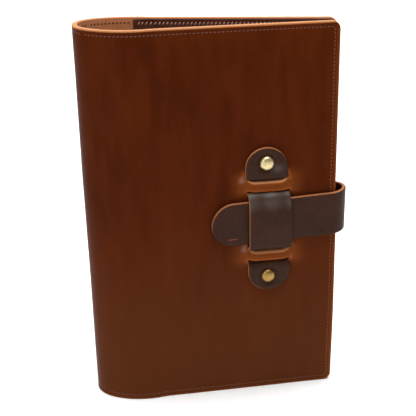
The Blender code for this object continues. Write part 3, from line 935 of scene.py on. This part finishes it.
def make_stitches():
    """The stitches on the hide. Gives the places and directions of the whole row."""
    front, ahead = stitch_line()
    here = np.concatenate([front, front * (-1, 1)])
    way = np.concatenate([ahead, ahead * (-1, 1)])
    for k in range(STRIPS + 1):
        inside = here[:, 0] > CUTS[k] + CUT_CLEARANCE
        inside &= here[:, 0] < CUTS[k + 1] - CUT_CLEARANCE
        at, to = here[inside], way[inside]
        level = hide_level(at[:, 0], at[:, 1]) - OUTER_SINK
        name = f"stitches_outer_{k + 1}"
        outer = stitches(name, at, to, level, OUTER_SLANT, OUTER_STITCH, THREAD)
        follow_hide(outer, k)
        spine = np.abs(at[:, 0]) < S_KINK - POCKET_LIP - 0.001
        at, to = at[spine], to[spine]
        level = hide_level(at[:, 0], at[:, 1]) - LEATHER
        name = f"stitches_inner_{k + 1}"
        inner = stitches(name, at, to, level, WORN_SLANT, WORN_STITCH, WORN_THREAD, -1)
        follow_hide(inner, k)
        if k == 0:
            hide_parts("back_edge_stitching")
        if k == STRIPS:
            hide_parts("front_edge_stitching")
    return here, way


# -------------------- pockets


def pocket_level(s, v):
    """The outer face of a pocket, whose free edge leans in."""
    past = np.clip((S_KINK - np.abs(s)) / POCKET_LIP, 0, 1)
    return POCKET_TOP - LIP_LEAN * past**1.3


def make_pockets(here, way):
    """The two pockets, each with its own row of stitches from the hide's whole row."""
    start = S_KINK - POCKET_LIP
    trim, radius = POCKET_TRIM, POCKET_ROUND
    for sign, word in ((1, "front"), (-1, "back")):

        def edge(s, v):
            return np.minimum(edge_distance(s, v) - trim, np.abs(s) - start)

        def heights(s, v):
            level = pocket_level(s, v)
            near = edge(s, v)
            ridge = 0.0003 * bell(near + trim - STITCH_INSET, 0.0007)
            top = level - rounding(near, radius)
            return top, level - POCKET_LEATHER + rounding(near, radius) + ridge

        def warp(s, v):
            s, v = hide_warp(s, v)
            return s, v * (MID - trim) / MID

        marks = [start + d for d in quarter(radius)] + [S_END - trim - d for d in quarter(radius)]
        marks += [S_END - d for d in groove_marks()] + [S_KINK, S_END - CORNER_RADIUS]
        lines = fill(marks, lambda s: 0.0007 if s < S_KINK or s > S_END - 0.0066 else 0.006)
        rows = quarter(radius) + groove_marks()
        rows = fill([0] + both(MID - d for d in rows), 0.006)
        if sign < 0:
            lines = -lines[::-1]
        finishes = (POCKET, POCKET_EDGE, POCKET)
        pocket = slab(f"{word}_lining", lines, rows, warp, heights, place, finishes)
        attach(pocket, f"{word}_cover")
        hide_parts(f"{word}_pocket")
        mine = sign * here[:, 0] > start + 0.002
        at, to = here[mine], way[mine]
        level = pocket_level(at[:, 0], at[:, 1]) - POCKET_LEATHER + 0.0001
        name = f"{word}_lining_stitches"
        row = stitches(name, at, to, level, LINING_SLANT, LINING_STITCH, INNER_THREAD, -1)
        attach(row, f"{word}_cover")


# -------------------- keeper


def keeper_line():
    """The middle of the keeper's thickness over its length, as height v against n."""
    tab = GAP + KEEPER_LEATHER / 2
    loop = STRAP_LIFT + STRAP_LEATHER + GAP + KEEPER_LEATHER / 2 + LOOP_SLACK
    lower_dip = [(-0.0286, tab), (-0.0262, KEEPER_BEHIND), (-0.0188, KEEPER_BEHIND)]
    lower_end = [(-0.0158, loop - 0.0010), (-0.0128, loop)]
    upper_end = [(0.0045, loop), (0.0090, loop - 0.0003), (0.0122, loop - 0.0009)]
    upper_end += [(0.0146, loop - 0.0021), (0.0161, loop - 0.0040)]
    upper_dip = [(0.0170, KEEPER_BEHIND), (0.0234, KEEPER_BEHIND), (0.0256, tab)]
    tips = [(-KEEPER_REACH, tab)], [(KEEPER_REACH - UPPER_TAB_SHORT, tab)]
    corners = np.array(tips[0] + lower_dip + lower_end + upper_end + upper_dip + tips[1])
    steps = np.linalg.norm(np.diff(corners, axis=0), axis=1)
    at = np.concatenate([[0], np.cumsum(steps)])
    fine = np.arange(0, at[-1], 0.00005)
    line = np.stack([np.interp(fine, at, corners[:, i]) for i in (0, 1)], axis=1)
    reach = 40
    window = np.hanning(2 * reach + 1)
    window /= window.sum()
    ends = [2 * line[0] - line[1:reach + 1][::-1], line, 2 * line[-1] - line[-reach - 1:-1][::-1]]
    padded = np.concatenate(ends)
    smooth = np.stack([np.convolve(padded[:, i], window, "valid") for i in (0, 1)], axis=1)
    return Path(smooth)


KEEPER = keeper_line()


def keeper_place(u, w, n):
    """Points of the keeper, at u across it and w along it."""
    v, height = KEEPER.spot(w, -n)
    narrow = 1 - KEEPER_PINCH * ease(0.0011 - height, 0, 0.0030) * (np.abs(v) < 0.030)
    return place(KEEPER_S + u * narrow + lean(v), v, height)


def round_end(half):
    """How far in from a half-round end the lines across it lie."""
    arc = [half * (1 - math.cos(a)) for a in np.radians(np.arange(12, 91, 6))]
    return arc + [END_TRIM, 0.00006, 0.00016, 0.0003, 0.00045, 0.0006]


def tongue_half(w, low, high, half):
    """Half the width at w of a sheet from low to high whose ends are half round."""
    end = np.minimum(w - low, high - w)
    short = np.clip(half - end, 0, half)
    return np.sqrt(np.maximum(half * half - short * short, 1e-12))


def tongue_edge(a, w, low, high, half):
    """Distance in from the outline of such a sheet."""
    end = np.minimum(w - low, high - w)
    rounded = half - np.hypot(a, half - end)
    return np.where(end < half, np.maximum(rounded, 0), half - np.abs(a))


def cushion(w):
    """The loop swells a little between its two ends."""
    return 0.0004 * (1 - ease(np.abs(w), 0.004, 0.013))


def make_keeper():
    """The laced keeper, pressed in round its two rivets."""
    half = KEEPER_WIDTH / 2
    end = KEEPER.at[-1]
    radius = STRAP_ROUND
    columns = fill(both(half - d for d in quarter(radius)), 0.0012)
    rows = fill(both(end - d for d in round_end(half)), 0.0005)

    def warp(u, w):
        return u * tongue_half(w, -end, end, half) / half, w

    def heights(u, w):
        near = tongue_edge(u, w, -end, end, half)
        v, _ = KEEPER.spot(w, 0)
        to_rivet = np.hypot(u, np.abs(v) - KEEPER_RIVET)
        dent = 0.0009 * bell(to_rivet, 0.0048)
        lip = 0.0005 * bell(to_rivet - 0.0072, 0.0020)
        ripple = 0.000125 * np.sin(u * 420 + 0.8) * bell(w, 0.014)
        level = cushion(w) + ripple
        top = KEEPER_LEATHER / 2 - rounding(near, radius) - dent + lip + level
        low = -KEEPER_LEATHER / 2 + rounding(near, radius) - 0.3 * dent + level
        return top, low

    def shine(u, w):
        v, _ = KEEPER.spot(w, 0)
        on_loop = bell(v - 0.0120, 0.0042) * (0.75 + 0.25 * np.sin(u * 500 + 1.2))
        on_tab = np.exp(-(((u - 0.0055) / 0.0045) ** 2 + ((v - 0.0310) / 0.0028) ** 2))
        return on_loop + 0.6 * on_tab

    def bare(u, w):
        near = tongue_edge(u, w, -end, end, half)
        # painted highlight: the bare rim is drawn only on the lit left side and at the upper tab's
        # tip
        lit = np.maximum(1 - ease(u, -0.006, 0.002), ease(w, end - 0.010, end - 0.005))
        return lit * (1 - ease(near, *BARE_LIT_EDGE))

    finishes = (DARK, STRAP_EDGE, DARK)
    marks = {"shine": shine, "bare": bare}
    keeper = slab("keeper", columns, rows, warp, heights, keeper_place, finishes, marks=marks)
    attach(keeper, "front_cover")
    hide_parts("keeper_strap")


# -------------------- closure strap


def strap_place(w, v, n):
    """Points of the strap, which rises a little from its tip to the fore edge."""
    x, y = STRAP.spot(w, n)
    return np.stack([x, y, v + MID + np.interp(w, TILT_SPOTS, TILT_RISE)], axis=-1)


def make_strap():
    """The closure strap in two halves, which meet halfway round its bend."""
    half = STRAP_WIDTH / 2
    low_end, high_end = STRAP.at[0], STRAP.at[-1]
    radius = STRAP_ROUND
    rivet_w = high_end - (STRAP_RIVET_X - STRAP_END_X) / math.cos(PANEL_ANGLE)
    rows = fill(both(half - d for d in quarter(radius)), 0.0014)
    marks = [m for d in round_end(half) for m in (low_end + d, high_end - d)]

    def warp(w, v):
        return w, v * tongue_half(w, low_end, high_end, half) / half

    def heights(w, v):
        near = tongue_edge(v, w, low_end, high_end, half)
        to_rivet = np.hypot(w - rivet_w, np.abs(v) - STRAP_RIVET_OFFSET)
        dent = 0.0005 * bell(to_rivet, 0.0046)
        slow = 0.00010 * np.sin(w * 150 + v * 90)
        top = STRAP_LEATHER / 2 - rounding(near, radius) - dent + slow
        low = -STRAP_LEATHER / 2 + rounding(near, radius) + slow
        return top, low

    def bare(w, v):
        near = tongue_edge(v, w, low_end, high_end, half)
        # painted highlight: the bare rim is drawn only along the lit top edge, fading out round the
        # bend
        lit = ease(v, -0.006, 0.002) * (1 - ease(w, -0.012, 0.0))
        return lit * (1 - ease(near, *BARE_LIT_EDGE))

    tangent = (float(STRAP_TANGENT[0]), float(STRAP_TANGENT[1]), MID)
    mirrored = (tangent[0], -tangent[1], MID)
    middle = (float(STRAP_MIDDLE[0]), 0.0, MID)
    parts = (
        ("strap_tongue_half", low_end, 0.0, ("strap_bend", "strap_tongue"), middle, mirrored),
        ("strap_back_half", 0.0, high_end, ("back_cover", "strap_bend"), tangent, middle),
    )
    for name, first, last, (body, other), start, end in parts:
        mine = [m for m in marks if first <= m <= last] + [first, last]
        mine += [m for m in (-BEND_HALF, BEND_HALF) if first < m < last]
        mine = [min(max(m, low_end + END_TRIM), high_end - END_TRIM) for m in mine]
        columns = fill(mine, lambda w: 0.0005 if abs(w) < BEND_HALF else 0.0016)
        finishes = (DARK, STRAP_EDGE, DARK)
        more = {"bare": bare}
        strap = slab(name, columns, rows, warp, heights, strap_place, finishes, marks=more)
        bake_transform(strap)
        if name == "strap_tongue_half":
            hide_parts("closure_strap_tongue", "closure_strap_bend")
        else:
            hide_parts("closure_strap_back")


# -------------------- rivets


def rivet_cap(name, s, v, base, body, node, finish):
    """A domed double-cap rivet's head with a rolled rim, turned to face out of the cover."""
    mesh = bpy.data.meshes.new(name)
    form = bmesh.new()
    rings = []
    angles = [2 * math.pi * i / CAP_SIDES for i in range(CAP_SIDES)]
    for radius, z in CAP_PROFILE:
        r = radius * CAP_SCALE
        ring = [(r * math.cos(a), r * math.sin(a), z) for a in angles] if r else [(0, 0, z)]
        rings.append([form.verts.new(spot) for spot in ring])
    for one, two in zip(rings, rings[1:]):
        for i in range(CAP_SIDES):
            corners = [one[i % len(one)], one[(i + 1) % len(one)]]
            corners += [two[(i + 1) % len(two)], two[i % len(two)]]
            form.faces.new(list(dict.fromkeys(corners)))
    bmesh.ops.recalc_face_normals(form, faces=form.faces)
    form.to_mesh(mesh)
    form.free()
    mesh.materials.append(finish)
    cap = shown(name, mesh)
    origin = Vector(place(s, v, base))
    out = (Vector(place(s, v, base + MM)) - origin).normalized()
    up = Vector((0, 0, 1))
    along = up.cross(out)
    turn = Matrix((along, up, out)).transposed().to_4x4()
    cap.matrix_world = Matrix.Translation(origin) @ turn
    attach(cap, body)
    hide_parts(node)


def make_rivets():
    """The four caps, and the brass of the posts, which stay as the CAD part has them."""
    for sign, word in ((1, "upper"), (-1, "lower")):
        node = f"keeper_rivet_{word}_cap"
        base = GAP + KEEPER_LEATHER - KEEPER_CAP_SINK
        v = sign * KEEPER_RIVET - (UPPER_CAP_DROP if sign > 0 else 0)
        s = KEEPER_S + float(lean(v)) - (0 if sign > 0 else LOWER_CAP_SHIFT)
        # the lower keeper cap takes the darker brass copy, as painted shade
        finish = BRASS if sign > 0 else SHADED_BRASS
        rivet_cap(f"keeper_cap_{word}", s, v, base, "front_cover", node, finish)
        node = f"strap_rivet_{word}_cap"
        base = STRAP_LIFT + STRAP_LEATHER - STRAP_CAP_SINK
        s = -along_panel(STRAP_RIVET_X)
        v = sign * STRAP_RIVET_OFFSET
        rivet_cap(f"strap_cap_{word}", s, v, base, "back_cover", node, BRASS)
        for kind in ("keeper", "strap"):
            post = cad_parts[f"{kind}_rivet_{word}_post"]
            for slot in post.material_slots:
                slot.material = BRASS


# -------------------- light, floor and camera


def area_light(name, spot, aim, size, power, spread=180):
    """A soft light. power is in watts and spread in degrees."""
    data = bpy.data.lights.new(name, "AREA")
    data.shape = "RECTANGLE"
    data.size, data.size_y = size
    data.energy = power
    data.spread = math.radians(spread)
    made = linked(name, data)
    made.location = spot
    made.rotation_euler = (Vector(aim) - Vector(spot)).to_track_quat("-Z", "Y").to_euler()


def make_stage():
    """A white floor, a faint even sky, three lights for the cover and one for the floor behind it."""
    reach = FLOOR_REACH
    mesh = bpy.data.meshes.new("floor")
    corners = [(-reach, -reach, 0), (reach, -reach, 0), (reach, reach, 0), (-reach, reach, 0)]
    mesh.from_pydata(corners, [], [(0, 1, 2, 3)])
    mesh.materials.append(floor_finish())
    floor = linked("floor", mesh)
    floor.location = (0, 0, -FLOOR_DROP)

    world = bpy.data.worlds.new("studio")
    bpy.context.scene.world = world
    world.use_nodes = True
    sky = world.node_tree.nodes["Background"]
    sky.inputs["Color"].default_value = (1.0, 0.99, 0.97, 1)
    sky.inputs["Strength"].default_value = 0.28
    area_light("key", (-0.55, -0.9, 0.75), (0, 0, 0.12), (0.4, 0.4), 2.4)
    area_light("glint", (-0.52, -1.0, 0.26), (0.02, 0, 0.12), (0.16, 0.16), 1.2)
    area_light("sheen", (0.10, -0.35, 1.10), (0.02, 0, 0.12), (0.30, 0.20), 5.0)
    area_light("top", (0.0, 1.05, 2.2), (0, 1.05, 0), (3.4, 2.6), 48.0, spread=70)


def make_camera():
    """The camera stands in front, a little to the left and above the cover."""
    yaw, pitch, roll = (math.radians(a) for a in CAMERA_TURN)
    aim = Vector((CAMERA_AIM_X - CENTRE_X, 0, MID))
    offset = Vector(CAMERA_OFFSET)
    level = math.cos(pitch)
    forward = Vector((math.sin(yaw) * level, math.cos(yaw) * level, -math.sin(pitch)))
    right = Vector((math.cos(yaw), -math.sin(yaw), 0))
    down = forward.cross(right)
    across = right * math.cos(roll) + down * math.sin(roll)
    lower = down * math.cos(roll) - right * math.sin(roll)
    eye = aim - (across * offset.x + lower * offset.y + forward * offset.z)
    data = bpy.data.cameras.new("camera")
    data.lens = CAMERA_LENS
    data.sensor_width = 36.0
    data.shift_x = CAMERA_SHIFT
    data.clip_start = 0.01
    data.clip_end = 50.0
    camera = linked("camera", data)
    turn = Matrix((across, -lower, -forward)).transposed().to_4x4()
    camera.matrix_world = Matrix.Translation(eye) @ turn
    bpy.context.scene.camera = camera


make_hide()
stitch_spots, stitch_ways = make_stitches()
make_pockets(stitch_spots, stitch_ways)
make_keeper()
make_strap()
make_rivets()
make_stage()
make_camera()
bpy.context.scene.view_settings.view_transform = "Standard"
